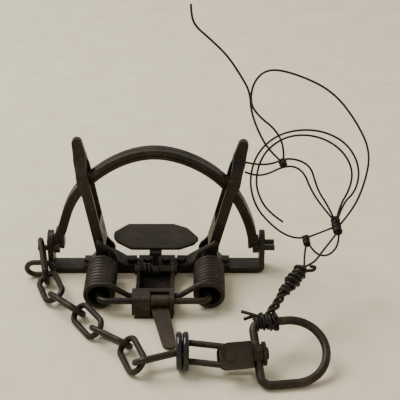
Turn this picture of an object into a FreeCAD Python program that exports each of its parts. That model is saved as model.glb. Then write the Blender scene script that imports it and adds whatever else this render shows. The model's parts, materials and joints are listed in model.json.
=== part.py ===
"""Double coil-spring foothold trap, shown sprung, with its chain, swivel, D-ring and tie wire.

Origin: on the ground under the middle of the base bar.  +X runs along the bar, the springs,
the trigger dog and the chain lie on the -Y side, +Z is up.  All sizes are in millimetres.
"""
import FreeCAD, Part
import math
import os

import Sketcher

V = FreeCAD.Vector
doc = FreeCAD.newDocument("CoilSpringTrap")

# ---------------------------------------------------------------- sizes
# Each size is named once here; everything else is worked out from them.
SIZES = [
    ("bar_length", 130.0, "base bar, outside to outside of its posts"),
    ("bar_width", 12.5, "base bar and posts"),
    ("bar_thick", 3.2, "base bar and posts"),
    ("post_height", 25.5, "top of the upturned posts"),
    ("corner_radius", 4.0, "outside of the bar's two bends"),
    ("post_round", 5.8, "rounding of the post tops"),
    ("jaw_axis_z", 16.0, "height of the jaw pins"),
    ("jaw_axis_y", 3.4, "jaw pins, each side of the middle"),
    ("jaw_pin_dia", 3.4, "jaw pins"),
    ("jaw_pin_fit", 0.1, "radial running clearance of a jaw pin in its post"),
    ("jaw_pin_out", 6.0, "jaw pin beyond the post"),
    ("short_pin_out", 1.4, "rear jaw pin beyond the post where the chain hangs"),
    ("hang_slack", 0.95, "first link's bend behind the jaw pin"),
    ("jaw_thick", 3.75, "one jaw, front to back"),
    ("jaw_band", 5.5, "one jaw, in the plane of its bow"),
    ("jaw_gap", 0.5, "between the closed jaws"),
    ("jaw_top_z", 80.5, "top of the closed jaws"),
    ("jaw_groove", 0.7, "depth of the gripping groove"),
    ("axle_x", 31.5, "axle legs, each side of the middle"),
    ("axle_z", 9.2, "axle height"),
    ("axle_dia", 3.7, "axle rod"),
    ("axle_front_y", -51.5, "cross run of the axle rod"),
    ("axle_bend", 5.0, "bend radius of the axle rod, centre line"),
    ("lever_fit", 0.1, "radial running clearance of lever and dog on the axle"),
    ("lever_length", 79.0, "pivot to tip"),
    ("lever_gap", 14.4, "between the lever's flanges"),
    ("lever_plate", 1.8, "lever sheet"),
    ("left_lean", 10.0, "left lever from upright, degrees"),
    ("right_lean", 15.0, "right lever from upright, degrees"),
    ("strap_thick", 2.0, "arched straps"),
    ("strap_width", 12.0, "arched straps"),
    ("wire_dia", 3.2, "spring wire"),
    ("coil_radius", 7.55, "spring wire centre line"),
    ("coil_pitch", 3.3, "spring wire, turn to turn"),
    ("coil_turns", 9.25, "turns on the frame side"),
    ("coil_front_y", -46.0, "centre of the front turn"),
    ("arm_y", -11.4, "centre of the moving turn"),
    ("arm_reach", 15.0, "axle to the lever's spring hole"),
    ("cross_width", 22.0, "cross channel"),
    ("sheet", 2.0, "cross channel and clamp"),
    ("rail_height", 8.6, "side rails of the cross channel"),
    ("clamp_top_z", 13.2, "top of the folded clamp"),
    ("pan_half_x", 25.6, "pan, half width"),
    ("pan_half_y", 14.5, "pan, half depth"),
    ("pan_mid_y", 1.5, "pan centre"),
    ("pan_z", 20.0, "underside of the pan"),
    ("pan_thick", 1.6, "pan sheet"),
    ("pan_axis_y", -16.0, "pan pivot"),
    ("pan_axis_z", 8.0, "pan pivot"),
    ("pan_pin_dia", 4.0, "pan pivot pin"),
    ("pan_wire", 2.1, "wire of the small pan coil"),
    ("dog_thick", 1.6, "trigger dog strip"),
    ("dog_reach", 34.0, "trigger dog, eye to tip"),
    ("rivet_dia", 3.2, "rivet shanks"),
    ("rivet_head", 5.6, "rivet heads"),
    ("link_wire", 3.4, "chain wire"),
    ("link_width", 14.6, "short chain links, outside"),
    ("long_width", 13.0, "long chain links, outside"),
    ("link_pitch", 21.6, "short chain links"),
    ("link_slack", 0.3, "clear between linked crowns, each end"),
    ("binding_radius", 8.8, "two-turn binding ring, centre line"),
    ("yoke_width", 14.0, "swivel yoke strip"),
    ("yoke_thick", 2.4, "swivel yoke strip"),
    ("ring_wire", 4.6, "D-ring"),
    ("ring_height", 36.0, "D-ring, straight side, centre line"),
    ("ring_reach", 37.0, "D-ring, straight side to bow, centre line"),
    ("ring_tilt", 30.0, "D-ring from flat, degrees"),
    ("end_ring", 19.0, "spare ring, outside"),
    ("swivel_y", 108.0, "swivel in front of the bar"),
    ("swivel_z", 11.4, "swivel height"),
    ("yoke_roll", -38.0, "yoke rolled to lie flat on its link, degrees"),
    ("swivel_yaw", 8.0, "swivel turned back, degrees"),
    ("tie_dia", 1.2, "tie wire"),
]

sheet = doc.addObject("Spreadsheet::Sheet", "Dims")
for row, (alias, value, note) in enumerate(SIZES, start=1):
    sheet.set("A%d" % row, alias)
    sheet.set("B%d" % row, str(value))
    sheet.set("C%d" % row, note)
    sheet.setAlias("B%d" % row, alias)
doc.recompute()


def dim(alias):
    """A size read back from the sheet."""
    return float(sheet.get(alias))


PIECES = []


def keep(obj, label):
    """Name a piece and list it for its own STEP file."""
    obj.Label = label
    PIECES.append(obj)
    return obj


# ---------------------------------------------------------------- helpers
def bind(obj, **formulas):
    """Tie properties of an object to formulas of sheet names."""
    for prop, formula in formulas.items():
        obj.setExpression(prop, formula)


def block(name, x, y, z, length, width, height):
    """A box whose corner and sides are formulas."""
    obj = doc.addObject("Part::Box", name)
    obj.setExpression("Length", length)
    obj.setExpression("Width", width)
    obj.setExpression("Height", height)
    obj.setExpression("Placement.Base.x", x)
    obj.setExpression("Placement.Base.y", y)
    obj.setExpression("Placement.Base.z", z)
    return obj


TURN = {
    "X": FreeCAD.Rotation(V(0, 1, 0), 90),
    "Y": FreeCAD.Rotation(V(1, 0, 0), -90),
    "Z": FreeCAD.Rotation(),
}


def rod(name, axis, x, y, z, radius, height):
    """A cylinder that starts at x, y, z and runs along +axis."""
    obj = doc.addObject("Part::Cylinder", name)
    obj.Placement = FreeCAD.Placement(V(0, 0, 0), TURN[axis])
    obj.setExpression("Radius", radius)
    obj.setExpression("Height", height)
    obj.setExpression("Placement.Base.x", x)
    obj.setExpression("Placement.Base.y", y)
    obj.setExpression("Placement.Base.z", z)
    return obj


def fuse(name, parts):
    obj = doc.addObject("Part::MultiFuse", name)
    obj.Shapes = parts
    obj.Refine = True
    return obj


def cut(name, base, tools):
    obj = doc.addObject("Part::Cut", name)
    obj.Base = base
    obj.Tool = tools[0] if len(tools) == 1 else fuse(name + "_tools", tools)
    obj.Refine = True
    return obj


def coded(name, shape, placement=None):
    """A piece made from code, where neither sketches nor primitives fit."""
    obj = doc.addObject("Part::Feature", name)
    obj.Shape = shape
    if placement is not None:
        obj.Placement = placement
    return obj


def plane_of(body, role):
    return [f for f in body.Origin.OriginFeatures if f.Role == role][0]


def sketch(body, name, role, loops, offset=None):
    """A closed sketch on one of the body's own planes.

    Each loop is a list of corners (u, v); a corner given as (u, v, bulge point) ends an arc
    that passes through the bulge point.  A loop given as (centre, radius) is a circle.
    """
    sk = body.newObject("Sketcher::SketchObject", name)
    sk.AttachmentSupport = [(plane_of(body, role), "")]
    sk.MapMode = "FlatFace"
    if offset is not None:
        sk.setExpression("AttachmentOffset.Base.z", offset)
    for loop in loops:
        if len(loop) == 2 and not isinstance(loop[1], tuple):
            (cu, cv), radius = loop
            sk.addGeometry(Part.Circle(V(cu, cv, 0), V(0, 0, 1), radius), False)
            continue
        first = sk.GeometryCount
        count = len(loop)
        for i in range(count):
            start = loop[i - 1]
            end = loop[i]
            if len(end) == 3:
                through = end[2]
                arc = Part.Arc(V(start[0], start[1], 0), V(through[0], through[1], 0), V(end[0], end[1], 0))
                sk.addGeometry(arc, False)
            else:
                sk.addGeometry(Part.LineSegment(V(start[0], start[1], 0), V(end[0], end[1], 0)), False)
        del first
    return sk


def pad(body, sk, name, length):
    """A pad on both sides of the sketch plane."""
    obj = body.newObject("PartDesign::Pad", name)
    obj.Profile = sk
    if hasattr(obj, "SideType"):
        obj.SideType = "Symmetric"
    else:
        obj.Midplane = True
    obj.setExpression("Length", length)
    body.Tip = obj
    sk.Visibility = False
    return obj


def pocket(body, sk, name, through=400.0):
    """A pocket right through, both ways."""
    obj = body.newObject("PartDesign::Pocket", name)
    obj.Profile = sk
    if hasattr(obj, "SideType"):
        obj.SideType = "Symmetric"
    else:
        obj.Midplane = True
    obj.Length = through
    body.Tip = obj
    return obj


def round_edges(body, name, test, radius):
    """Fillet the edges of the body's tip that pass the test."""
    doc.recompute()
    tip = body.Tip
    names = ["Edge%d" % (i + 1) for i, e in enumerate(tip.Shape.Edges) if test(e)]
    obj = body.newObject("PartDesign::Fillet", name)
    obj.Base = (tip, names)
    obj.setExpression("Radius", radius)
    body.Tip = obj
    return obj


def new_body(name):
    return doc.addObject("PartDesign::Body", name)


def along(edge, axis):
    """True for a straight edge that runs along the axis."""
    if not isinstance(edge.Curve, Part.Line):
        return False
    d = edge.Vertexes[1].Point - edge.Vertexes[0].Point
    return abs(abs(d.dot(axis)) - d.Length) < 1e-6


def tube(path_edges, diameter):
    """Sweep a round section along a smooth run of edges."""
    wire = Part.Wire(path_edges)
    first = path_edges[0]
    start = first.valueAt(first.FirstParameter)
    direction = first.tangentAt(first.FirstParameter)
    section = Part.Wire([Part.makeCircle(diameter / 2.0, start, direction)])
    return wire.makePipeShell([section], True, False)


def rounded_path(points, radii):
    """Straight runs joined by tangent arcs; radii holds one radius for each inner point."""
    edges = []
    start = points[0]
    for i in range(1, len(points) - 1):
        corner = points[i]
        back = (points[i - 1] - corner).normalize()
        ahead = (points[i + 1] - corner).normalize()
        turn = math.pi - back.getAngle(ahead)
        reach = radii[i - 1] * math.tan(turn / 2.0)
        p1 = corner + back * reach
        p2 = corner + ahead * reach
        inward = (back + ahead).normalize()
        centre = corner + inward * (radii[i - 1] / math.cos(turn / 2.0))
        middle = centre + (corner - centre).normalize() * radii[i - 1]
        edges.append(Part.makeLine(start, p1))
        edges.append(Part.Arc(p1, middle, p2).toShape())
        start = p2
    edges.append(Part.makeLine(start, points[-1]))
    return edges


def frame_of(start, end, roll):
    """A placement with its X axis from start to end, its Z axis rolled from upright by roll degrees."""
    ax = (end - start).normalize()
    side = V(0, 0, 1).cross(ax).normalize()
    up = ax.cross(side)
    rot = FreeCAD.Rotation(ax, side, up, "XYZ")
    return FreeCAD.Placement((start + end) * 0.5, rot.multiply(FreeCAD.Rotation(V(1, 0, 0), roll)))


def oval_link(reach, width, wire):
    """A closed oval link about the origin, long way X, flat in XY; reach is centre line to centre line."""
    bend = (width - wire) / 2.0
    half = reach / 2.0 - bend
    parts = []
    if half > 0.01:
        for side in (-1, 1):
            parts.append(Part.makeCylinder(wire / 2.0, 2 * half, V(-half, side * bend, 0), V(1, 0, 0)))
    for side, start in ((1, -90), (-1, 90)):
        bow = Part.makeTorus(bend, wire / 2.0, V(0, 0, 0), V(0, 0, 1), -180, 180, 180)
        bow.rotate(V(0, 0, 0), V(0, 0, 1), start)
        bow.translate(V(side * half, 0, 0))
        parts.append(bow)
    return parts[0].fuse(parts[1:]).removeSplitter()


# ---------------------------------------------------------------- base frame
half_bar = dim("bar_length") / 2.0
inner_x = half_bar - dim("bar_thick")
rivet_x = [41.4, 15.0]

frame = new_body("BaseFrame")
side = sketch(frame, "FrameSide", "XZ_Plane", [[
    (-half_bar, dim("post_height")), (-half_bar, 0.0), (half_bar, 0.0), (half_bar, dim("post_height")),
    (inner_x, dim("post_height")), (inner_x, dim("bar_thick")),
    (-inner_x, dim("bar_thick")), (-inner_x, dim("post_height"))]])
pad(frame, side, "FramePad", "Dims.bar_width")


def outer_bend(edge):
    p = edge.CenterOfMass
    return along(edge, V(0, 1, 0)) and p.z < 0.01


def inner_bend(edge):
    p = edge.CenterOfMass
    return along(edge, V(0, 1, 0)) and abs(p.z - dim("bar_thick")) < 0.01


def post_top(edge):
    p = edge.CenterOfMass
    return along(edge, V(1, 0, 0)) and p.z > dim("post_height") - 0.01


round_edges(frame, "OuterBends", outer_bend, "Dims.corner_radius")
round_edges(frame, "InnerBends", inner_bend, "Dims.corner_radius - Dims.bar_thick")
round_edges(frame, "PostTops", post_top, "Dims.post_round")
hole_radius = dim("jaw_pin_dia") / 2.0 + dim("jaw_pin_fit")
holes = sketch(frame, "JawHoles", "YZ_Plane", [
    ((side_y * dim("jaw_axis_y"), dim("jaw_axis_z")), hole_radius) for side_y in (-1, 1)])
pocket(frame, holes, "JawHolePocket")
rivet_spots = [(s * x, 0.0) for s in (-1, 1) for x in rivet_x] + [(-5.5, 0.0), (5.5, 0.0)]
rivet_holes = sketch(frame, "RivetHoles", "XY_Plane", [(spot, dim("rivet_dia") / 2.0) for spot in rivet_spots])
pocket(frame, rivet_holes, "RivetHolePocket")
keep(frame, "base_frame")

# ---------------------------------------------------------------- cross channel
tab = block("CrossTab", "-Dims.cross_width / 2", "-Dims.bar_width / 2 - Dims.sheet", "Dims.bar_thick",
            "Dims.cross_width", "Dims.bar_width + Dims.sheet", "Dims.sheet")
riser = block("CrossRiser", "-Dims.cross_width / 2", "-Dims.bar_width / 2 - Dims.sheet", "0",
              "Dims.cross_width", "Dims.sheet", "Dims.bar_thick + Dims.sheet")
floor = block("CrossFloor", "-Dims.cross_width / 2", "Dims.axle_front_y - 3.9", "0",
              "Dims.cross_width", "-Dims.axle_front_y + 3.9 - Dims.bar_width / 2", "Dims.sheet")
rails = []
ears = []
for s, tag in ((-1, "Left"), (1, "Right")):
    edge_x = "%d * Dims.cross_width / 2 %s" % (s, "" if s < 0 else "- Dims.sheet")
    rails.append(block("Rail" + tag, edge_x, "-42.2", "0", "Dims.sheet", "42.2 - Dims.bar_width / 2",
                       "Dims.rail_height"))
    ears.append(rod("Ear" + tag, "X", edge_x, "Dims.pan_axis_y", "Dims.pan_axis_z", "4.2", "Dims.sheet"))
cross_solid = fuse("CrossSolid", [tab, riser, floor] + rails + ears)
cross_tools = [rod("PanPinHole", "X", "-20", "Dims.pan_axis_y", "Dims.pan_axis_z",
                   "Dims.pan_pin_dia / 2", "40")]
for s in (-1, 1):
    cross_tools.append(rod("CrossRivetHole" + ("L" if s < 0 else "R"), "Z", "%g" % (s * 5.5), "0", "-1",
                           "Dims.rivet_dia / 2", "12"))
keep(cut("CrossChannel", cross_solid, cross_tools), "cross_channel")

# ---------------------------------------------------------------- folded clamp over rod and spring ends
clamp_out = block("ClampOuter", "-12.4", "Dims.axle_front_y - 3.9", "Dims.sheet", "24", "13",
                  "Dims.clamp_top_z - Dims.sheet")
clamp_edges = doc.addObject("Part::Fillet", "ClampFold")
clamp_edges.Base = clamp_out
doc.recompute()
fold = []
for i, e in enumerate(clamp_out.Shape.Edges):
    if along(e, V(1, 0, 0)) and e.CenterOfMass.z > dim("clamp_top_z") - 0.01:
        fold.append((i + 1, 2.6, 2.6))
clamp_edges.Edges = fold
clamp_in = block("ClampInner", "-20", "Dims.axle_front_y - 3.9 + 1.8", "0", "40", "13 - 3.6",
                 "Dims.axle_z + Dims.axle_dia / 2 + 0.15")
dog_slot = block("DogSlot", "-2", "Dims.axle_front_y - 8", "0", "10.9", "11.8", "20")
keep(cut("RodClamp", clamp_edges, [clamp_in, dog_slot]), "rod_clamp")

# ---------------------------------------------------------------- arched straps
arch_in = dim("axle_dia") / 2.0 + 0.15
arch_out = arch_in + dim("strap_thick")


def strap(name, label, s):
    """A strip bent over the axle, with a long inner foot and a short outer foot."""
    ax = dim("axle_x")
    az = dim("axle_z")
    low = dim("bar_thick")
    high = low + dim("strap_thick")
    body = new_body(name)
    outline = [
        (44.0, low), (44.0, high), (40.0, high),
        (ax + arch_out * 0.94, az + arch_out * 0.34),
        (ax - arch_out * 0.42, az + arch_out * 0.907, (ax + arch_out * 0.35, az + arch_out * 0.937)),
        (18.4, high), (12.2, high), (12.2, low), (18.0, low),
        (ax - arch_in * 0.42, az + arch_in * 0.907),
        (ax + arch_in * 0.94, az + arch_in * 0.34, (ax + arch_in * 0.35, az + arch_in * 0.937)),
        (39.2, low)]
    loop = []
    for corner in outline:
        if len(corner) == 3:
            loop.append((s * corner[0], corner[1], (s * corner[2][0], corner[2][1])))
        else:
            loop.append((s * corner[0], corner[1]))
    pad(body, sketch(body, name + "Side", "XZ_Plane", [loop]), name + "Pad", "Dims.strap_width")
    spots = [((s * x, 0.0), dim("rivet_dia") / 2.0) for x in rivet_x]
    pocket(body, sketch(body, name + "Holes", "XY_Plane", spots), name + "HolePocket")
    return keep(body, label)


strap("LeftStrap", "left_strap", -1)
strap("RightStrap", "right_strap", 1)

# ---------------------------------------------------------------- rivets of the frame
rivets = []
for i, (x, y) in enumerate(rivet_spots):
    shank = rod("RivetShank%d" % i, "Z", "%g" % x, "%g" % y, "0.2", "Dims.rivet_dia / 2",
                "Dims.bar_thick + Dims.sheet - 0.1")
    dome = doc.addObject("Part::Sphere", "RivetDome%d" % i)
    bind(dome, Radius="Dims.rivet_head / 2")
    dome.Angle1 = 0
    dome.Placement = FreeCAD.Placement(V(x, y, dim("bar_thick") + dim("sheet")), FreeCAD.Rotation())
    flat = block("RivetFlat%d" % i, "%g" % (x - 5), "%g" % (y - 5), "Dims.bar_thick + Dims.sheet + 1.5",
                 "10", "10", "5")
    rivets.append(fuse("Rivet%d" % i, [shank, cut("RivetHead%d" % i, dome, [flat])]))
group = doc.addObject("Part::Compound", "FrameRivets")
group.Links = rivets
keep(group, "frame_rivets")

# ---------------------------------------------------------------- axle rod
ax = dim("axle_x")
az = dim("axle_z")
bend = dim("axle_bend")
front_y = dim("axle_front_y")
corners = [V(-ax, 10.6, az), V(-ax, front_y, az), V(ax, front_y, az), V(ax, 10.6, az)]
rod_body = tube(rounded_path(corners, [bend, bend]), dim("axle_dia"))
buttons = [Part.makeCylinder(2.9, 1.4, V(s * ax, 9.5, az), V(0, 1, 0)) for s in (-1, 1)]
keep(coded("AxleRod", rod_body.fuse(buttons).removeSplitter()), "axle_rod")

# ---------------------------------------------------------------- main springs
wire_r = dim("wire_dia") / 2.0
coil_r = dim("coil_radius")


def coil(radius, pitch, turns, wire, turn_start=0.0):
    """A coil about +Z, its wire centre starting at radius on +X turned by turn_start degrees."""
    spine = Part.makeHelix(pitch, pitch * turns, radius)
    edge = spine.Edges[0]
    start = edge.valueAt(edge.FirstParameter)
    direction = edge.tangentAt(edge.FirstParameter)
    section = Part.Wire([Part.makeCircle(wire / 2.0, start, direction)])
    solid = Part.Wire(spine.Edges).makePipeShell([section], True, True)
    solid.rotate(V(0, 0, 0), V(0, 0, 1), turn_start)
    return solid


def main_spring(name, label, s):
    """One wire: from the clamp up to the top of the coil, then round the axle leg."""
    front = dim("coil_front_y")
    spine = Part.makeHelix(dim("coil_pitch"), dim("coil_pitch") * dim("coil_turns"), coil_r)
    # stand the helix along +Y, the first turn in front, its start on top
    spine.rotate(V(0, 0, 0), V(1, 0, 0), -90)
    spine.rotate(V(0, 0, 0), V(0, 1, 0), -90)
    spine.translate(V(ax, front, az))
    first = spine.Edges[0]
    top = first.valueAt(first.FirstParameter)
    leave = first.tangentAt(first.FirstParameter) * 5.8
    lead = rounded_path([V(9.6, front, az), V(14.5, front, az), top - leave, top], [5.0, 5.0])
    whole = tube(lead + spine.Edges, dim("wire_dia"))
    if s < 0:
        whole = whole.mirror(V(0, 0, 0), V(1, 0, 0))
    return keep(coded(name, whole), label)


main_spring("LeftSpring", "left_spring", -1)
main_spring("RightSpring", "right_spring", 1)


def spring_arm(name, s, lean):
    """The moving end: half a turn round the axle, a leg up the lever and a hook through its flange."""
    y = dim("arm_y")
    reach = dim("arm_reach")
    hook_y = -dim("lever_gap") / 2.0 + 0.4
    side_x = -coil_r
    edges = []
    bottom = V(0.0, y, -coil_r)
    start = V(coil_r * math.cos(math.radians(20)), y, -coil_r * math.sin(math.radians(20)))
    through = V(coil_r * math.cos(math.radians(55)), y, -coil_r * math.sin(math.radians(55)))
    edges.append(Part.Arc(start, through, bottom).toShape())
    quarter = V(-coil_r * math.cos(math.radians(45)), y, -coil_r * math.sin(math.radians(45)))
    edges.append(Part.Arc(bottom, quarter, V(side_x, y, 0.0)).toShape())
    path = [V(side_x, y, 0.0), V(side_x, y, 6.2), V(0.0, y, reach), V(0.0, hook_y, reach)]
    edges += rounded_path(path, [4.4, 2.3])
    arm = tube(edges, dim("wire_dia"))
    if s < 0:
        arm = arm.mirror(V(0, 0, 0), V(1, 0, 0))
    where = FreeCAD.Placement(V(s * ax, 0, az), FreeCAD.Rotation(V(0, 1, 0), s * lean))
    return coded(name, arm, where)


keep(spring_arm("LeftSpringArm", -1, dim("left_lean")), "left_spring_arm")
keep(spring_arm("RightSpringArm", 1, dim("right_lean")), "right_spring_arm")

# ---------------------------------------------------------------- spring levers


def lever(name, label, s, lean):
    """Pressed yoke: two flanges that straddle bar, post and jaws, pinched into one tongue on top."""
    gap = dim("lever_gap") / 2.0
    out = gap + dim("lever_plate")
    tip = dim("lever_length")
    tongue = dim("lever_plate")
    body = new_body(name)
    strip = [(-out, -6.4), (-out, 58.5), (-tongue, 69.0), (-tongue, tip), (tongue, tip), (tongue, 69.0),
             (out, 58.5), (out, -6.4), (gap, -6.4), (gap, 58.5), (0.9, 66.5), (-0.9, 66.5), (-gap, 58.5),
             (-gap, -6.4)]
    pad(body, sketch(body, name + "Strip", "YZ_Plane", [strip]), name + "Pad", "20")
    web = sketch(body, name + "Web", "XY_Plane", [[
        (s * -2.9, -gap - 0.4), (s * -2.9, gap + 0.4), (s * -1.1, gap + 0.4), (s * -1.1, -gap - 0.4)]], "17")
    pad(body, web, name + "WebPad", "16")
    boss = 6.2
    outline = [
        (s * -2.9, 7.5), (s * -2.9, 62.0), (s * -3.6, 68.0), (s * -3.0, tip - 3.0),
        (s * 3.0, tip - 3.0, (0.0, tip)), (s * 4.1, 66.0), (s * 3.7, 60.0), (s * 4.4, 53.0), (s * 3.1, 45.0),
        (s * 2.9, 7.5), (s * 4.6, 4.2),
        (s * -4.6, 4.2, (0.0, -boss))]
    far = 40.0
    trim = sketch(body, name + "Trim", "XZ_Plane", [
        [(-far, -far), (far, -far), (far, tip + far), (-far, tip + far)], outline])
    pocket(body, trim, name + "Outline")
    pivot_r = dim("axle_dia") / 2.0 + dim("lever_fit")
    holes_sk = sketch(body, name + "Bore", "XZ_Plane", [((0.0, 0.0), pivot_r)])
    pocket(body, holes_sk, name + "BorePocket")
    hook = body.newObject("PartDesign::Pocket", name + "HookHole")
    hook_sk = sketch(body, name + "HookSketch", "XZ_Plane", [((0.0, dim("arm_reach")), wire_r + 0.1)])
    hook.Profile = hook_sk
    hook.Length = 30.0
    hook.Reversed = True
    body.Tip = hook
    body.Placement = FreeCAD.Placement(V(s * ax, 0, az), FreeCAD.Rotation(V(0, 1, 0), s * lean))
    return keep(body, label)


lever("LeftLever", "left_lever", -1, dim("left_lean"))
lever("RightLever", "right_lever", 1, dim("right_lean"))

# ---------------------------------------------------------------- jaws


def bow_points(inset):
    """Half of the jaw's bow from foot to top, moved inwards by the inset."""
    span = half_bar / 65.0
    shape = [(60.6, 16.0), (59.4, 27.0), (54.6, 41.5), (43.0, 60.0), (22.0, 75.2), (0.0, dim("jaw_top_z"))]
    outer = [(x * span, z) for x, z in shape]
    moved = []
    for i, (x, z) in enumerate(outer):
        before = outer[max(i - 1, 0)]
        after = outer[i + 1] if i + 1 < len(outer) else (-outer[i - 1][0], outer[i - 1][1])
        if i == 0:
            before = (60.8 * span, 5.0)
        dx = after[0] - before[0]
        dz = after[1] - before[1]
        size = math.hypot(dx, dz)
        moved.append((x - inset * dz / size, z + inset * dx / size))
    return moved


def bow_curve(inset):
    right = bow_points(inset)
    left = [(-x, z) for x, z in reversed(right[:-1])]
    spline = Part.BSplineCurve()
    spline.interpolate([V(x, 0, z) for x, z in right + left], InitialTangent=V(0, 0, 1), FinalTangent=V(0, 0, -1))
    return spline.toShape()


def jaw(name, label, s):
    """One bow with a gripping groove, flat feet and a round pin at each end; s is -1 in front."""
    thick = dim("jaw_thick")
    near = dim("jaw_gap") / 2.0
    band = dim("jaw_band")
    outer = bow_curve(0.0)
    inner = bow_curve(band)
    foot_z = dim("jaw_axis_z")
    ends = [Part.makeLine(outer.Vertexes[0].Point, inner.Vertexes[0].Point),
            Part.makeLine(outer.Vertexes[1].Point, inner.Vertexes[1].Point)]
    face = Part.Face(Part.Wire(Part.__sortEdges__([outer, ends[1], inner, ends[0]])))
    solid = face.extrude(V(0, thick, 0))
    solid.translate(V(0, near if s > 0 else -near - thick, 0))
    groove_face = Part.Face(Part.Wire(Part.__sortEdges__([
        bow_curve(band * 0.34), bow_curve(band * 0.66),
        Part.makeLine(bow_curve(band * 0.34).Vertexes[0].Point, bow_curve(band * 0.66).Vertexes[0].Point),
        Part.makeLine(bow_curve(band * 0.34).Vertexes[1].Point, bow_curve(band * 0.66).Vertexes[1].Point)])))
    depth = dim("jaw_groove")
    groove = groove_face.extrude(V(0, depth, 0))
    groove.translate(V(0, near + thick - depth if s > 0 else -near - thick, 0))
    solid = solid.cut(groove)
    pin_y = s * dim("jaw_axis_y")
    foot_out = inner_x - 0.4
    extra = []
    for hand in (-1, 1):
        foot = Part.makeCylinder(3.1, 3.6, V(foot_out - 3.6, pin_y, foot_z), V(1, 0, 0))
        y0 = near if s > 0 else -near - thick
        heel = Part.makeBox(3.6, thick, 5.0, V(foot_out - 3.6, y0, foot_z))
        beyond = dim("short_pin_out") if (s > 0 and hand < 0) else dim("jaw_pin_out")
        pin = Part.makeCylinder(dim("jaw_pin_dia") / 2.0, half_bar + beyond - foot_out + 1.0,
                                V(foot_out - 1.0, pin_y, foot_z), V(1, 0, 0))
        for item in (foot, heel, pin):
            if hand < 0:
                item = item.mirror(V(0, 0, 0), V(1, 0, 0))
            extra.append(item)
    # the foot stays on its own side of the gap between the jaws
    solid = solid.fuse(extra)
    keep_out = Part.makeBox(4 * half_bar, near + 20, 40, V(-2 * half_bar, -20 if s > 0 else -near, 0))
    return keep(coded(name, solid.cut(keep_out).removeSplitter()), label)


jaw("FrontJaw", "front_jaw", -1)
jaw("RearJaw", "rear_jaw", 1)

# ---------------------------------------------------------------- pan, its stem, pin and coil
pan = new_body("Pan")
px = dim("pan_half_x")
py = dim("pan_half_y")
pm = dim("pan_mid_y")
pan_outline = [(-px, pm + 4.5), (-17.5, pm + py), (10.0, pm + py), (18.5, pm + py * 0.66), (px, pm - 3.0),
               (px - 3.0, pm - 9.0), (14.0, pm - py), (-14.5, pm - py), (-23.5, pm - 6.0), (-px, pm - 1.0)]
pad(pan, sketch(pan, "PanOutline", "XY_Plane", [pan_outline], "Dims.pan_z + Dims.pan_thick / 2"),
    "PanPad", "Dims.pan_thick")
round_edges(pan, "PanCorners", lambda e: along(e, V(0, 0, 1)), "3")
keep(pan, "pan_plate")

hub = rod("StemHub", "X", "-1.8", "Dims.pan_axis_y", "Dims.pan_axis_z", "Dims.pan_pin_dia / 2 + 1.7", "3.6")
arm = block("StemArm", "-1.8", "Dims.pan_axis_y - 0.6", "Dims.pan_axis_z", "3.6", "2.4",
            "Dims.pan_z - Dims.pan_axis_z")
foot = block("StemFoot", "-3.6", "Dims.pan_axis_y - 0.6", "Dims.pan_z - 1.8", "7.2", "12", "1.8")
stem_bore = rod("StemBore", "X", "-5", "Dims.pan_axis_y", "Dims.pan_axis_z",
                "Dims.pan_pin_dia / 2 + 0.1", "10")
keep(cut("PanStem", fuse("StemSolid", [hub, arm, foot]), [stem_bore]), "pan_stem")

pin = rod("PanPinShaft", "X", "-Dims.cross_width / 2 - 1.4", "Dims.pan_axis_y", "Dims.pan_axis_z",
          "Dims.pan_pin_dia / 2", "Dims.cross_width + 2.8")
pin_heads = [rod("PanPinHead" + t, "X", x, "Dims.pan_axis_y", "Dims.pan_axis_z", "3.1", "1.2")
             for t, x in (("L", "-Dims.cross_width / 2 - 1.4"), ("R", "Dims.cross_width / 2 + 0.2"))]
keep(fuse("PanPin", [pin] + pin_heads), "pan_pin")

pan_coil_r = dim("pan_pin_dia") / 2.0 + 0.15 + dim("pan_wire") / 2.0
pan_coil = coil(pan_coil_r, dim("pan_wire") + 0.12, 2.0, dim("pan_wire"))
pan_coil_seat = FreeCAD.Placement(V(3.6 - dim("cross_width") / 2.0, dim("pan_axis_y"), dim("pan_axis_z")), TURN["X"])
keep(coded("PanCoil", pan_coil, pan_coil_seat), "pan_coil")

# ---------------------------------------------------------------- trigger dog
dog_eye_in = dim("axle_dia") / 2.0 + dim("lever_fit")
dog_eye_out = dog_eye_in + dim("dog_thick")
dog = new_body("TriggerDog")
under = -dog_eye_out + dim("dog_thick") / 2.0
dog_strip = [(-1.5, 0.0), (-1.5, -4.0), (5.6, -dim("dog_reach") + 1.0),
             (13.4, -dim("dog_reach") + 1.0, (9.8, -dim("dog_reach") - 1.4)), (8.5, -4.0), (8.5, 0.0)]
pad(dog, sketch(dog, "DogStrip", "XY_Plane", [dog_strip], "-%g" % -under), "DogStripPad", "Dims.dog_thick")
eye = sketch(dog, "DogEye", "YZ_Plane", [((0.0, 0.0), dog_eye_out)], "3.5")
pad(dog, eye, "DogEyePad", "10")
pocket(dog, sketch(dog, "DogBore", "YZ_Plane", [((0.0, 0.0), dog_eye_in)]), "DogBorePocket")
slope = math.degrees(math.asin((az - dog_eye_out - 0.15) / (dim("dog_reach") + 1.4)))
dog.Placement = FreeCAD.Placement(V(0, front_y, az), FreeCAD.Rotation(V(1, 0, 0), slope))
keep(dog, "trigger_dog")

# ---------------------------------------------------------------- chain
link_d = dim("link_wire")


def link(name, label, start, end, roll, width, spare=0.0):
    """An oval link between two contact points, longer by the spare length."""
    reach = (end - start).Length + link_d + 2 * dim("link_slack") + spare
    shape = oval_link(reach, width, link_d)
    return keep(coded(name, shape, frame_of(start, end, roll)), label)


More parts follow.
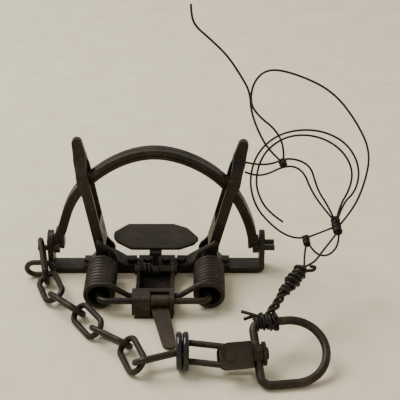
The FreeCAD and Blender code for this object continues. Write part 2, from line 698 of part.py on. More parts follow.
chain_z = (dim("link_width") - link_d) / 2.0 * math.sin(math.radians(45)) + link_d / 2.0
hang_top = V(-(half_bar + 3.9), dim("hang_slack") - dim("jaw_axis_y"),
             dim("jaw_axis_z") + dim("jaw_pin_dia") / 2.0)
first_low = V(0.4 - half_bar, -21.0, chain_z)
link("HangLink", "link_1", hang_top, first_low, 98.0, dim("link_width"), 0.8)
headings = [-70.0, -46.0, -58.0, -38.0, -70.0]
rolls = [28.0, -45.0, 45.0, -45.0, 45.0]
contacts = [first_low]
for turn in headings:
    step = V(math.cos(math.radians(turn)), math.sin(math.radians(turn)), 0) * dim("link_pitch")
    contacts.append(contacts[-1] + step)
for i in range(len(headings)):
    link("Link%d" % (i + 2), "link_%d" % (i + 2), contacts[i], contacts[i + 1], rolls[i], dim("link_width"))
short_end = contacts[-1]
binding_wire = 3.4
joint = V(17.0, -102.0, dim("binding_radius") + binding_wire / 2.0)
yoke_end = V(42.5, -dim("swivel_y"), dim("swivel_z"))
link("LongLinkA", "long_link_1", short_end + V(0.5, 0, 3.0), joint, -40.0, dim("long_width"))
link("LongLinkB", "long_link_2", joint, yoke_end, -128.0, dim("long_width"), 0.4)

# a spare ring stands on edge through the first link
end_ring = oval_link(dim("end_ring") - 3.2, 13.2, 3.2)
ring_lean = FreeCAD.Rotation(V(1, 0, 0), 105)
keep(coded("EndRing", end_ring, FreeCAD.Placement(first_low + V(-4.7, 9.5, 0.74), ring_lean)), "end_ring")

# two turns of wire bound round the joint of the long links
turns = [Part.makeTorus(dim("binding_radius"), binding_wire / 2.0, V(dx, 0, 0), V(1, 0, 0)) for dx in (-1.75, 1.75)]
heading = yoke_end - short_end
bind_turn = FreeCAD.Rotation(V(0, 0, 1), math.degrees(math.atan2(heading.y, heading.x)))
keep(coded("Binding", Part.makeCompound(turns), FreeCAD.Placement(joint, bind_turn)), "link_binding")

# ---------------------------------------------------------------- swivel and D-ring
# Drawn about the yoke pin, the ring's way out along +X.
yw = dim("yoke_width")
yt = dim("yoke_thick")
pin_r = 1.6
leg_y = 5.4
yoke_front = 13.0
seat = FreeCAD.Placement(yoke_end - V(pin_r + 0.5, 0, 0), FreeCAD.Rotation(V(0, 0, 1), dim("swivel_yaw")))
yoke_seat = seat.multiply(FreeCAD.Placement(V(0, 0, 0), FreeCAD.Rotation(V(1, 0, 0), dim("yoke_roll"))))
yoke_solid = Part.makeBox(yoke_front + 4.6, 2 * (leg_y + yt), yw, V(-4.6, -leg_y - yt, -yw / 2.0))
yoke_solid = yoke_solid.cut(Part.makeBox(yoke_front + 4.6, 2 * leg_y, yw, V(-4.6 - yt, -leg_y, -yw / 2.0)))


def fillet_where(shape, radius, test):
    return shape.makeFillet(radius, [e for e in shape.Edges if test(e)])


yoke_solid = fillet_where(yoke_solid, 2.2, lambda e: along(e, V(0, 0, 1)) and e.CenterOfMass.x > yoke_front - 0.01)
yoke_solid = fillet_where(yoke_solid, 5.0, lambda e: along(e, V(0, 1, 0)) and e.CenterOfMass.x < -4.59)
rivet_r = 2.0
yoke_solid = yoke_solid.cut(Part.makeCylinder(pin_r, 40, V(0, -20, 0), V(0, 1, 0)))
yoke_solid = yoke_solid.cut(Part.makeCylinder(rivet_r + 0.1, 20, V(yoke_front - 10, 0, 0), V(1, 0, 0)))
keep(coded("SwivelYoke", yoke_solid, yoke_seat), "swivel_yoke")

half_pin = leg_y + yt + 1.1
yoke_pin = Part.makeCylinder(pin_r, 2 * half_pin, V(0, -half_pin, 0), V(0, 1, 0))
yoke_heads = [Part.makeCylinder(2.6, 1.1, V(0, y, 0), V(0, 1, 0)) for y in (-half_pin, half_pin - 1.1)]
keep(coded("YokePin", yoke_pin.fuse(yoke_heads).removeSplitter(), yoke_seat), "yoke_pin")

boss_half = 2.5
ring_x = yoke_front + boss_half + 0.3
washer_x = ring_x + boss_half + 0.4
inner_head = yoke_front - yt - 1.6
rivet = Part.makeCylinder(rivet_r, washer_x + 1.6 + 1.4 - inner_head, V(inner_head, 0, 0), V(1, 0, 0))
rivet = rivet.fuse([Part.makeCylinder(3.4, 1.5, V(inner_head, 0, 0), V(1, 0, 0)),
                    Part.makeCylinder(3.2, 1.3, V(washer_x + 1.7, 0, 0), V(1, 0, 0))]).removeSplitter()
keep(coded("SwivelRivet", rivet, seat), "swivel_rivet")
washer = Part.makeCylinder(6.4, 1.6, V(washer_x, 0, 0), V(1, 0, 0))
washer = washer.cut(Part.makeCylinder(rivet_r + 0.05, 10, V(ring_x, 0, 0), V(1, 0, 0)))
keep(coded("SwivelWasher", washer, seat), "swivel_washer")

rw = dim("ring_wire")
arm_v = dim("ring_height") / 2.0
shoulder = dim("ring_reach") - arm_v
d_path = [V(shoulder, arm_v, 0), V(0, arm_v, 0), V(0, -arm_v, 0), V(shoulder, -arm_v, 0)]
d_edges = rounded_path(d_path, [5.0, 5.0])
d_edges.append(Part.Arc(d_path[-1], V(dim("ring_reach"), 0, 0), d_path[0]).toShape())
d_solid = tube(d_edges, rw)
d_boss = Part.makeCylinder(5.2, 2 * boss_half, V(-boss_half, 0, 0), V(1, 0, 0))
d_solid = d_solid.fuse(d_boss).cut(Part.makeCylinder(rivet_r + 0.1, 20, V(-10, 0, 0), V(1, 0, 0)))
d_place = seat.multiply(FreeCAD.Placement(V(ring_x, 0, 0), FreeCAD.Rotation(V(1, 0, 0), dim("ring_tilt"))))
keep(coded("DRing", d_solid, d_place), "d_ring")

# ---------------------------------------------------------------- tie wire
tie = dim("tie_dia")


def cord(name, label, points):
    """A wire along its points: straight runs joined by tangent arcs."""
    pts = [V(*p) for p in points]
    radii = []
    for i in range(1, len(pts) - 1):
        run_in = (pts[i] - pts[i - 1]).Length
        run_out = (pts[i + 1] - pts[i]).Length
        turn = (pts[i] - pts[i - 1]).getAngle(pts[i + 1] - pts[i])
        radii.append(0.45 * min(run_in, run_out) / math.tan(turn / 2.0))
    edges = rounded_path(pts, radii)
    solid = tube(edges, tie)
    length = sum(e.Length for e in edges)
    print("%s length %.1f radii %s volume ratio %.4f" % (
        label, length, [round(r, 1) for r in radii], solid.Volume / (length * math.pi * tie * tie / 4.0)))
    return keep(coded(name, solid), label)


KNOT_LOW = (71.3, -72.0, 28.3)
KNOT_HIGH = (83.5, -58.0, 35.7)
WIRES = {
    "wire_tail": [(72, -27, 84.3), (63.72, -34.53, 95.32), (57.2, -39, 109.2), (53.1, -42, 122.1),
        (52.3, -43, 133.3), (47.5, -43, 142.3), (40.1, -44, 154.2), (30.8, -44, 163.4), (23.7, -44, 169.8),
        (21.7, -44, 176.1), (21.7, -44, 181.4)],
    "wire_big_loop": [(72.3, -29.0, 85.2), (72.2, -33.0, 97.4), (66.5, -36.0, 109.0), (58.2, -38.0, 116.6),
        (52.7, -38.0, 124.4), (54.0, -38.0, 136.9), (61.7, -38.0, 144.7), (76.9, -38.0, 141.4),
        (96.2, -38.0, 131.8), (110.0, -38.0, 114.0), (118.8, -38.0, 95.6), (116.5, -37.0, 75.0),
        (111.2, -35.0, 58.2), (104.6, -31.5, 46.4)],
    "wire_ring_outer": [(104.2, -27.5, 47.2), (106.3, -28.0, 58.9), (113.4, -30.0, 68.2),
        (114.7, -30.0, 82.6), (107.7, -30.0, 96.6), (95.3, -30.0, 104.4), (81.6, -30.0, 106.2),
        (67.6, -30.0, 102.6), (57.0, -30.0, 91.2), (53.5, -30.0, 74.5), (57.2, -30.0, 58.7),
        (65.3, -30.0, 47.8), (75.3, -30.0, 39.3), (85.0, -31.0, 37.9), (95.6, -31.0, 42.5),
        (102.6, -31.0, 45.9)],
    "wire_ring_inner": [(103.2, -30.2, 48.2), (104.4, -30.0, 58.1), (109.9, -30.0, 69.5),
        (110.9, -30.0, 81.4), (104.7, -30.0, 93.0), (93.8, -30.0, 100.8), (81.2, -30.0, 103.2),
        (69.9, -30.0, 100.2), (60.3, -30.0, 90.6), (56.8, -30.0, 75.1), (59.9, -30.0, 62.6),
        (66.3, -30.0, 53.6), (73.3, -30.0, 48.4)],
    "wire_wavy_a": [(51.3, -22, 82.2), (57.5, -22, 80.7), (66.4, -22, 81), (74.1, -22, 84.7),
        (82, -22, 83.5), (88.3, -22, 79.1), (90.9, -22, 70.9), (93.6, -22, 63.3), (98.72, -23.62, 55.84),
        (102.6, -25, 48)],
    "wire_wavy_b": [(51.6, -19.0, 74.6), (57.3, -19.0, 72.1), (64.6, -19.0, 73.3), (72.4, -19.0, 77.8),
        (79.7, -19.0, 78.4), (85.5, -19.0, 73.3), (88.8, -19.0, 64.4), (94.8, -20.0, 54.6),
        (102.2, -23.6, 46.8)],
    "wire_low_loop": [(86.9, -33.6, 38.2), (89.82, -34.91, 33.3), (94.5, -37, 30.2), (100.1, -37.5, 31.2),
        (104.88, -36.44, 37.41), (104.6, -35.2, 45)],
    "wire_hook": [(84.2, -57.4, 35.5), (90.01, -52.88, 36.16), (94.2, -47, 38.7), (99, -42, 42.3),
        (103.2, -37.6, 45.7)],
    "wire_drop": [(83.6, -57.4, 36.2), (84.54, -47.35, 37.93), (86.3, -37.4, 38.9)],
}
for label, points in WIRES.items():
    cord("".join(w.capitalize() for w in label.split("_")), label, points)


def wrap(name, label, start, end, inside, wire, gap, place=None, core=False):
    """A close coil of wire from start to end about the line between them, with or without the bunch it binds."""
    way = end - start
    pitch = wire + gap
    solid = coil(inside + wire / 2.0, pitch, way.Length / pitch, wire)
    if core:
        bunch = Part.makeCylinder(inside + 0.25 * wire, way.Length + wire, V(0, 0, -wire / 2.0), V(0, 0, 1))
        solid = solid.fuse(bunch)
    where = FreeCAD.Placement(start, FreeCAD.Rotation(V(0, 0, 1), way))
    if place is not None:
        where = place.multiply(where)
    return keep(coded(name, solid, where), label)


def twisted(name, label, start, end, strands, radius, wire, lay):
    """Strands laid round one line, each a separate solid."""
    way = end - start
    made = []
    for i in range(strands):
        one = coil(radius, lay, way.Length / lay, wire)
        made.append(one.copy())
        made[-1].rotate(V(0, 0, 0), V(0, 0, 1), 360.0 * i / strands)
    where = FreeCAD.Placement(start, FreeCAD.Rotation(V(0, 0, 1), way))
    return keep(coded(name, Part.makeCompound(made), where), label)


wrap("WireWrap", "wire_wrap", V(7.0, arm_v, 0), V(14.0, arm_v, 0), rw / 2.0 + 0.05, 1.6, 0.06, d_place)
twist_low = d_place.multVec(V(9.0, arm_v + rw / 2.0 + 1.9, 1.0))
twist_top = V(*KNOT_LOW)
twisted("WireTwist", "wire_twist", twist_low, twist_top, 3, 1.35, 1.8, 16.0)
wrap("KnotMain", "wire_knot_main", V(*KNOT_LOW), V(*KNOT_HIGH), 1.8, 2.1, 0.08, core=True)
wrap("KnotRight", "wire_knot_right", V(103.5, -38.6, 46.2), V(103.5, -22.6, 47.0), 1.6, 1.2, 0.06, core=True)
wrap("KnotLeft", "wire_knot_left", V(72.1, -30.0, 84.7), V(72.1, -25.4, 84.3), 1.2, 1.2, 0.06, core=True)
wrap("KnotMid", "wire_knot_mid", V(86.5, -39.0, 38.7), V(86.5, -30.4, 39.0), 1.1, 1.2, 0.06, core=True)

# ---------------------------------------------------------------- write
doc.recompute()
bad = [o.Name for o in doc.Objects if "Invalid" in o.State or "Error" in o.State]
print("bad", bad)
os.makedirs("parts", exist_ok=True)
for obj in PIECES:
    shape = obj.Shape
    ok = (not shape.isNull()) and shape.isValid() and len(shape.Solids) > 0
    bb = shape.BoundBox
    print("%-18s ok=%s solids=%d vol=%.1f  x %.1f..%.1f y %.1f..%.1f z %.2f..%.2f" % (
        obj.Label, ok, len(shape.Solids), shape.Volume, bb.XMin, bb.XMax, bb.YMin, bb.YMax, bb.ZMin, bb.ZMax))
    shape.exportStep("parts/%s.step" % obj.Label)
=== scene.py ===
# %% [markdown]
# # A jointed foothold trap with chain, swivel and tie wire
#
# The part is already built to size as solid pieces. This lesson gives those pieces their
# looks: old brown steel, rusty fittings and springy black tie wire. It loads the sized
# pieces first and never moves them. Only the wires are drawn again here, because a smooth
# curve looks more like wire than the faceted tube that stands in for it.

# %% Load the sized pieces
import json
import math
import bpy
import bmesh
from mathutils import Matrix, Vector


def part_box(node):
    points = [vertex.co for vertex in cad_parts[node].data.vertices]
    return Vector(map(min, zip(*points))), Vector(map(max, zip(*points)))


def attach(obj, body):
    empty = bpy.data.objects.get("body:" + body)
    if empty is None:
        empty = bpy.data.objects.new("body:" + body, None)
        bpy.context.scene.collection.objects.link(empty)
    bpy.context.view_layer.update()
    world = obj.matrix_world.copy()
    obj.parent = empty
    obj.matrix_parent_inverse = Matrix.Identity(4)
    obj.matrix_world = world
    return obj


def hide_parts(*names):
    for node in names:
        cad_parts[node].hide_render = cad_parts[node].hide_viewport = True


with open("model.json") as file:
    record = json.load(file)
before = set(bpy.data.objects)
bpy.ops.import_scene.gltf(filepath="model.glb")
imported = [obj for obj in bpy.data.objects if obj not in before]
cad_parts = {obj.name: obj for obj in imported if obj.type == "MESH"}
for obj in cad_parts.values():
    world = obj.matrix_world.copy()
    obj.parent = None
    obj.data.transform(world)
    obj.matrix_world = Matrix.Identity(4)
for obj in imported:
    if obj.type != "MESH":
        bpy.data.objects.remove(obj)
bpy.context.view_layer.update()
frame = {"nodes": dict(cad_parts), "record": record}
record = frame["record"]

# %% [markdown]
# ## The camera
#
# A small object looks natural from a little way off with a long lens, which keeps upright
# things upright and the chain the same size near and far. The camera stands in front, a
# little to the right of the middle, and looks down by 28 degrees. It is made before
# anything else, so that every later step can be looked at from the same place.

# %% Camera
LENS = 103.5
CAMERA_PLACE = (0.0262, -0.5996, 0.3654)
LOOK_DOWN = 28.0
camera_data = bpy.data.cameras.new("camera")
camera = bpy.data.objects.new("camera", camera_data)
bpy.context.scene.collection.objects.link(camera)
camera_data.sensor_width = 36.0
camera_data.lens = LENS
camera.location = CAMERA_PLACE
camera.rotation_euler = (math.radians(90.0 - LOOK_DOWN), 0.0, 0.0)
bpy.context.scene.camera = camera
print("camera lens", camera_data.lens, "mm, height", round(camera.location.z, 3), "m")

# %% [markdown]
# ## The loose tie wire
#
# A coil of soft black wire is tied to the D-ring. It keeps every bend that it was given, so
# it stands in the air in loops. Each loose run is a curve that a short list of points
# guides. A quadratic NURBS curve is right for this: it passes just inside each point and
# never overshoots, as a stiff wire does. The points are the same ones that the solid wire
# follows, in metres. Two short runs, wire_drop and wire_hook, stay as solids.

# %% Routes of the loose wires
WIRE = 0.0012
ROUTES = {
    "wire_tail": [(0.072, -0.027, 0.0843), (0.06372, -0.03453, 0.09532), (0.0572, -0.039, 0.1092),
        (0.0531, -0.042, 0.1221), (0.0523, -0.043, 0.1333), (0.0475, -0.043, 0.1423),
        (0.0401, -0.044, 0.1542), (0.0308, -0.044, 0.1634), (0.0237, -0.044, 0.1698),
        (0.0217, -0.044, 0.1761), (0.0217, -0.044, 0.1814)],
    "wire_big_loop": [(0.0723, -0.029, 0.0852), (0.0722, -0.033, 0.0974), (0.0665, -0.036, 0.109),
        (0.0582, -0.038, 0.1166), (0.0527, -0.038, 0.1244), (0.054, -0.038, 0.1369),
        (0.0617, -0.038, 0.1447), (0.0769, -0.038, 0.1414), (0.0962, -0.038, 0.1318),
        (0.11, -0.038, 0.114), (0.1188, -0.038, 0.0956), (0.1165, -0.037, 0.075),
        (0.1112, -0.035, 0.0582), (0.1046, -0.0315, 0.0464)],
    "wire_ring_outer": [(0.1042, -0.0275, 0.0472), (0.1063, -0.028, 0.0589), (0.1134, -0.03, 0.0682),
        (0.1147, -0.03, 0.0826), (0.1077, -0.03, 0.0966), (0.0953, -0.03, 0.1044),
        (0.0816, -0.03, 0.1062), (0.0676, -0.03, 0.1026), (0.057, -0.03, 0.0912),
        (0.0535, -0.03, 0.0745), (0.0572, -0.03, 0.0587), (0.0653, -0.03, 0.0478),
        (0.0753, -0.03, 0.0393), (0.085, -0.031, 0.0379), (0.0956, -0.031, 0.0425),
        (0.1026, -0.031, 0.0459)],
    "wire_ring_inner": [(0.1032, -0.0302, 0.0482), (0.1044, -0.03, 0.0581), (0.1099, -0.03, 0.0695),
        (0.1109, -0.03, 0.0814), (0.1047, -0.03, 0.093), (0.0938, -0.03, 0.1008),
        (0.0812, -0.03, 0.1032), (0.0699, -0.03, 0.1002), (0.0603, -0.03, 0.0906),
        (0.0568, -0.03, 0.0751), (0.0599, -0.03, 0.0626), (0.0663, -0.03, 0.0536),
        (0.0733, -0.03, 0.0484)],
    "wire_wavy_a": [(0.0513, -0.022, 0.0822), (0.0575, -0.022, 0.0807), (0.0664, -0.022, 0.081),
        (0.0741, -0.022, 0.0847), (0.082, -0.022, 0.0835), (0.0883, -0.022, 0.0791),
        (0.0909, -0.022, 0.0709), (0.0936, -0.022, 0.0633), (0.09872, -0.02362, 0.05584),
        (0.1026, -0.025, 0.048)],
    "wire_wavy_b": [(0.0516, -0.019, 0.0746), (0.0573, -0.019, 0.0721), (0.0646, -0.019, 0.0733),
        (0.0724, -0.019, 0.0778), (0.0797, -0.019, 0.0784), (0.0855, -0.019, 0.0733),
        (0.0888, -0.019, 0.0644), (0.0948, -0.02, 0.0546), (0.1022, -0.0236, 0.0468)],
    "wire_low_loop": [(0.0869, -0.0336, 0.0382), (0.08982, -0.03491, 0.0333), (0.0945, -0.037, 0.0302),
        (0.1001, -0.0375, 0.0312), (0.10488, -0.03644, 0.03741), (0.1046, -0.0352, 0.045)],
}


# %% A helper that draws a round wire through points
STEPS_ALONG = 10
STEPS_ROUND = 4


def wire_curve(name, points, diameter):
    """A round NURBS wire from its first point to its last.

    The bevel is 1 and each point's radius is half the wire, so the curve's box is as slim as the wire.
    """
    data = bpy.data.curves.new(name, "CURVE")
    data.dimensions = "3D"
    data.resolution_u = STEPS_ALONG
    data.bevel_depth = 1.0
    data.bevel_resolution = STEPS_ROUND
    data.use_fill_caps = True
    spline = data.splines.new("NURBS")
    spline.points.add(len(points) - 1)
    for slot, point in zip(spline.points, points):
        slot.co = (*point, 1.0)
        slot.radius = diameter / 2.0
    spline.order_u = 3
    spline.use_endpoint_u = True
    made = bpy.data.objects.new(name, data)
    bpy.context.scene.collection.objects.link(made)
    return made


def drawn_line(made):
    """The points that a curve really passes through, read from its own spline."""
    depth = made.data.bevel_depth
    made.data.bevel_depth = 0.0
    bpy.context.view_layer.update()
    mesh = bpy.data.meshes.new_from_object(made.evaluated_get(bpy.context.evaluated_depsgraph_get()))
    line = [v.co.copy() for v in mesh.vertices]
    bpy.data.meshes.remove(mesh)
    made.data.bevel_depth = depth
    return line


def line_length(line):
    return sum((b - a).length for a, b in zip(line, line[1:]))


# %% Draw each loose wire and attach it to the ring's body
wires = []
for node, route in ROUTES.items():
    piece = wire_curve(node + "_drawn", route, WIRE)
    length = line_length(drawn_line(piece))
    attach(piece, "ring_body")
    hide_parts(node)
    wires.append(piece)
    print(node, "is", round(1000 * length, 1), "mm long")

# %% [markdown]
# ## The bound bunch
#
# Between the ring and the loops the wires are gathered and bound by hand. No two turns of
# a hand-bound knot lie alike: the first layer is tight and the second crosses over it. Each
# layer is one wire wound about the line of the bunch, and a small wobble in its radius
# keeps it from looking like a machine-made spring. The middle of each knot comes from the
# box of the solid knot, so it follows if the part is changed. Lengths, in metres, and
# turns are chosen here.


# %% A helper that winds a wire about a line
POINTS_PER_TURN = 10
SWELL_RATE, SWELL_SHIFT = 0.37, 1.3
DRIFT, DRIFT_RATE = 0.25, 0.61


def wound(name, start, end, radius, diameter, turns, wobble, phase=0.0):
    """One wire wound from start to end; the wobble varies its radius and the gap between turns."""
    way = end - start
    facing = way.to_track_quat("Z", "Y")
    count = int(POINTS_PER_TURN * turns)
    points = []
    for i in range(count + 1):
        part = i / count
        angle = phase + 2.0 * math.pi * turns * part
        swell = radius * (1.0 + wobble * math.sin(SWELL_RATE * angle + SWELL_SHIFT * phase))
        along = way.length * (part + DRIFT * wobble * math.sin(DRIFT_RATE * angle) / turns)
        points.append(start + facing @ Vector((swell * math.cos(angle), swell * math.sin(angle), along)))
    return wire_curve(name, points, diameter)


def middle_of(node):
    low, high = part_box(node)
    return (low + high) / 2.0


# %% Wind the knots
windings = []
knot = middle_of("wire_knot_main")
reach = Vector((0.0061, 0.0070, 0.0037))
top = knot + reach
layers = [
    wound("knot_under", knot - reach, top,
          radius=0.0022, diameter=0.0022, turns=8.0, wobble=0.16),
    wound("knot_over", knot + 0.75 * reach, knot - 0.45 * reach,
          radius=0.0036, diameter=0.0018, turns=4.0, wobble=0.12, phase=0.8),
    wound("knot_cross", knot - 0.9 * reach, knot + 0.9 * reach,
          radius=0.0031, diameter=0.0016, turns=1.6, wobble=0.14, phase=2.0),
    wound("knot_heart", knot - reach, top,
          radius=0.0009, diameter=0.0022, turns=1.2, wobble=0.10, phase=0.4),
    wire_curve("knot_stub", [
        knot + 0.5 * reach,
        top + Vector((0.0016, -0.0012, -0.0014)),
        top + Vector((0.0052, -0.0016, -0.0012)),
        top + Vector((0.0062, -0.0008, 0.0010)),
        top + Vector((0.0030, 0.0002, 0.0004)),
    ], diameter=0.0019),
]
for layer in layers:
    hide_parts("wire_knot_main")
windings += layers
SMALL_KNOTS = (
    ("wire_knot_right", 0.0020, 0.0079, 10.0),
    ("wire_knot_left", 0.0016, 0.0026, 4.0),
    ("wire_knot_mid", 0.0015, 0.0043, 6.0),
)
for node, radius, deep, turns in SMALL_KNOTS:
    spot = middle_of(node)
    back = Vector((0.0, deep, 0.0))
    outer = wound(node + "_turns", spot - back, spot + back,
                  radius, diameter=0.0012, turns=turns, wobble=0.18, phase=0.5)
    heart = wound(node + "_heart", spot - back, spot + back,
                  radius=0.0006, diameter=0.0014, turns=1.3, wobble=0.10)
    for layer in (outer, heart):
        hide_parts(node)
        windings.append(layer)
print("windings so far", len(windings))

# %% [markdown]
# ## The rope and the tie at the corner of the ring
#
# Below the knot the wires are doubled and twisted into a short rope. Its last turns go round
# the upper arm of the D-ring and are pushed into its corner, and two cut ends stick out
# beyond it. Places are counted from a point on the arm, in three directions: along the
# arm, away from the ring and out of its plane. The directions follow from the swivel's
# turn of 8 degrees and the ring's tilt of 30. They and the point are typed here, so they
# stay behind if the ring moves.

# %% Twist the rope and wind the tie
ARM = Vector((0.05388, -0.09036, 0.0204))
ALONG = Vector((0.9903, 0.1392, 0.0))
AWAY = Vector((-0.1205, 0.8576, 0.5))
OUT = Vector((0.0696, -0.4951, 0.866))


def on_arm(along, away, out):
    """A place given from the corner of the D-ring in millimetres."""
    return ARM + (along * ALONG + away * AWAY + out * OUT) / 1000.0


THIRD_TURNS = (0.0, 2.1, 4.2)  # radians, about a third of a turn apart
rope_low, rope_high = on_arm(8.6, 2.2, 0.4), knot - 0.85 * reach
for i, phase in enumerate(THIRD_TURNS):
    strand = wound(f"rope_strand_{i + 1}", rope_low, rope_high,
                   radius=0.00155, diameter=0.0021, turns=1.3, wobble=0.08, phase=phase)
    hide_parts("wire_twist")
    windings.append(strand)
ties = [
    wound("tie_turns", on_arm(1.6, 0.0, 0.0), on_arm(13.4, 0.0, 0.0),
          radius=0.0033, diameter=0.0018, turns=6.4, wobble=0.10),
    wound("tie_cross", on_arm(12.6, -0.4, 0.0), on_arm(3.4, 0.3, 0.2),
          radius=0.0044, diameter=0.0017, turns=2.6, wobble=0.14, phase=1.1),
    wire_curve("tie_end_high", [
        on_arm(11.0, -3.6, 1.8), on_arm(7.0, -0.6, 4.2), on_arm(2.0, 2.6, 3.6),
        on_arm(-2.6, 5.4, 2.2), on_arm(-5.0, 6.6, 1.6),
    ], diameter=0.0018),
    wire_curve("tie_end_low", [
        on_arm(9.0, 4.0, -0.6), on_arm(4.0, 3.9, 0.8), on_arm(-1.0, 3.4, 0.6), on_arm(-4.2, 2.6, 0.0),
    ], diameter=0.0018),
    wire_curve("tie_bight", [
        on_arm(4.2, 2.6, 2.8), on_arm(7.6, -2.4, 3.8), on_arm(11.8, -6.0, 2.2),
        on_arm(14.0, -3.8, -0.8), on_arm(13.0, 1.6, -2.8),
    ], diameter=0.0021),
]
for tie in ties:
    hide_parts("wire_wrap")
windings += ties
for piece in windings:
    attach(piece, "ring_body")
print("windings", len(windings))

# %% [markdown]
# ## Old steel
#
# The trap is bare steel that has turned brown. Close up it is three things at once: a dark
# even skin, cloudy patches where the skin is browner or more olive, and fine pits that
# break the shine. Four noise textures make them: one for the patches, one for small spots
# of rust, one for how dull the skin is, and a fine one for the pits. They are placed by
# Object coordinates, so they have one scale over all pieces and need no unwrapping. One
# builder function makes every steel here, and each finish only gives its own colours and
# the few values that differ.


# %% Small helpers for shader nodes
def new_material(name):
    material = bpy.data.materials.new(name)
    material.use_nodes = True
    tree = material.node_tree
    tree.nodes.clear()
    output = tree.nodes.new("ShaderNodeOutputMaterial")
    shader = tree.nodes.new("ShaderNodeBsdfPrincipled")
    tree.links.new(shader.outputs["BSDF"], output.inputs["Surface"])
    return material, tree, shader


def noise(tree, scale, detail, roughness=0.6):
    """A noise texture on Object coordinates; the result is its Fac socket."""
    place = tree.nodes.new("ShaderNodeTexCoord")
    texture = tree.nodes.new("ShaderNodeTexNoise")
    texture.inputs["Scale"].default_value = scale
    texture.inputs["Detail"].default_value = detail
    texture.inputs["Roughness"].default_value = roughness
    tree.links.new(place.outputs["Object"], texture.inputs["Vector"])
    return texture.outputs["Fac"]


def steps(tree, value, low, high, to_low=0.0, to_high=1.0):
    """Spreads the part of a value between low and high over to_low to to_high."""
    node = tree.nodes.new("ShaderNodeMapRange")
    node.inputs["From Min"].default_value = low
    node.inputs["From Max"].default_value = high
    node.inputs["To Min"].default_value = to_low
    node.inputs["To Max"].default_value = to_high
    tree.links.new(value, node.inputs["Value"])
    return node.outputs["Result"]


def mix(tree, factor, a, b):
    """Mixes two colours, each a colour or the socket of one."""
    node = tree.nodes.new("ShaderNodeMix")
    node.data_type = "RGBA"
    tree.links.new(factor, node.inputs[0])
    for socket, value in ((node.inputs[6], a), (node.inputs[7], b)):
        if isinstance(value, tuple):
            socket.default_value = (*value, 1.0)
        else:
            tree.links.new(value, socket)
    return node.outputs[2]


# %% The steel builder
PIT_SCALE = 900.0
PIT_DEPTH = 0.0004


def old_steel(name, skin, patch, spot, shine=(0.35, 0.6), metal=0.35, pits=0.35,
              patches=45.0, gleam=0.3):
    """Skin colour, cloudy patches of a second, small spots of a third, and pits in the surface."""
    material, tree, shader = new_material(name)
    clouds = steps(tree, noise(tree, patches, 5.0), 0.42, 0.66)
    speckle = steps(tree, noise(tree, patches * 9.0, 3.0, 0.7), 0.58, 0.72)
    colour = mix(tree, clouds, skin, patch)
    colour = mix(tree, speckle, colour, spot)
    tree.links.new(colour, shader.inputs["Base Color"])
    rough = steps(tree, noise(tree, patches * 2.5, 4.0), 0.35, 0.7, *shine)
    tree.links.new(rough, shader.inputs["Roughness"])
    shader.inputs["Metallic"].default_value = metal
    shader.inputs["Specular IOR Level"].default_value = gleam
    bump = tree.nodes.new("ShaderNodeBump")
    bump.inputs["Strength"].default_value = pits
    bump.inputs["Distance"].default_value = PIT_DEPTH
    tree.links.new(noise(tree, PIT_SCALE, 4.0, 0.65), bump.inputs["Height"])
    tree.links.new(bump.outputs["Normal"], shader.inputs["Normal"])
    return material


# %% [markdown]
# ## The five finishes
#
# The frame, springs, levers, jaws and chain links share one dark brown. The pan is thin
# sheet that hands and weather have left more olive. The clip, the dog, the swivel, the end
# ring and the D-ring have kept more rust. The tie wire is nearly black, and the turns that
# bind the long links are blacker still, with a smooth shiny skin.

# %% Make the finishes
finishes = {
    "dark_steel": old_steel(
        "dark_steel", (0.0125, 0.0092, 0.0055), (0.034, 0.0250, 0.0150), (0.070, 0.042, 0.022)),
    "rusted_steel": old_steel(
        "rusted_steel", (0.016, 0.0110, 0.0062), (0.040, 0.028, 0.0155), (0.085, 0.046, 0.021), metal=0.3),
    "pan_steel": old_steel(
        "pan_steel", (0.0190, 0.0138, 0.0074), (0.029, 0.0205, 0.0112), (0.011, 0.0080, 0.0050),
        shine=(0.5, 0.75), metal=0.15, patches=60.0, gleam=0.2),
    "black_wire": old_steel(
        "black_wire", (0.0085, 0.0062, 0.0046), (0.023, 0.0160, 0.0110), (0.075, 0.036, 0.016),
        shine=(0.35, 0.55), metal=0.3, pits=0.15, patches=90.0),
    "black_band": old_steel(
        "black_band", (0.0050, 0.0048, 0.0045), (0.010, 0.0092, 0.0085), (0.02, 0.018, 0.015),
        shine=(0.12, 0.25), metal=0.2, pits=0.08, gleam=0.5),
}
print("finishes", sorted(finishes))

# %% Give every piece its finish
slot_of = {part["node"]: part["material_slot"] for part in record["subparts"]}
for node, piece in frame["nodes"].items():
    piece.data.materials.clear()
    piece.data.materials.append(finishes[slot_of[node]])
for piece in wires + windings:
    piece.data.materials.append(finishes["black_wire"])
print("painted", len(slot_of), "pieces and", len(wires) + len(windings), "wires")

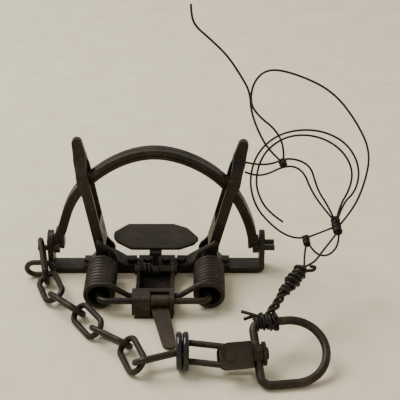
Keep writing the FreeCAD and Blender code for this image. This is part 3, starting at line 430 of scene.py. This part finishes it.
# %% [markdown]
# ## Floor and light
#
# The trap lies on a pale cloth. A big plain floor with a very soft weave is enough, and it
# catches the soft shadow that tells the eye where each wire is in the air. The light is one
# large soft panel above, to the left and a little behind, with a pale sky all round.

# %% Floor
FLOOR_SIZE = 6.0
FLOOR_DROP = 0.0004
WEAVE_SCALE = 40.0
floor_mesh = bmesh.new()
bmesh.ops.create_grid(floor_mesh, x_segments=1, y_segments=1, size=FLOOR_SIZE)
floor_data = bpy.data.meshes.new("floor")
floor_mesh.to_mesh(floor_data)
floor_mesh.free()
floor = bpy.data.objects.new("floor", floor_data)
bpy.context.scene.collection.objects.link(floor)
floor.location.z = -FLOOR_DROP
cloth, cloth_tree, cloth_shader = new_material("cloth")
weave = steps(cloth_tree, noise(cloth_tree, WEAVE_SCALE, 4.0), 0.3, 0.7)
tone = mix(cloth_tree, weave, (0.70, 0.615, 0.43), (0.79, 0.705, 0.51))
cloth_tree.links.new(tone, cloth_shader.inputs["Base Color"])
cloth_shader.inputs["Roughness"].default_value = 0.95
floor.data.materials.append(cloth)
print("floor", round(1000 * FLOOR_DROP, 2), "mm below zero")

# %% Light
PANEL_SIDES = (0.9, 0.7)
PANEL_POWER = 19.0
PANEL_PLACE = (-0.65, 0.25, 1.1)
PANEL_AIM = Vector((0.02, -0.04, 0.03))
SKY_STRENGTH = 0.66
panel_data = bpy.data.lights.new("panel", "AREA")
panel_data.shape = "RECTANGLE"
panel_data.size, panel_data.size_y = PANEL_SIDES
panel_data.energy = PANEL_POWER
panel = bpy.data.objects.new("panel", panel_data)
panel.location = PANEL_PLACE
panel.rotation_euler = (PANEL_AIM - panel.location).to_track_quat("-Z", "Y").to_euler()
bpy.context.scene.collection.objects.link(panel)
world = bpy.data.worlds.new("sky")
bpy.context.scene.world = world
world.use_nodes = True
sky = world.node_tree.nodes["Background"]
sky.inputs["Color"].default_value = (1.0, 0.97, 0.92, 1.0)
sky.inputs["Strength"].default_value = SKY_STRENGTH
print("panel", panel_data.energy, "W")
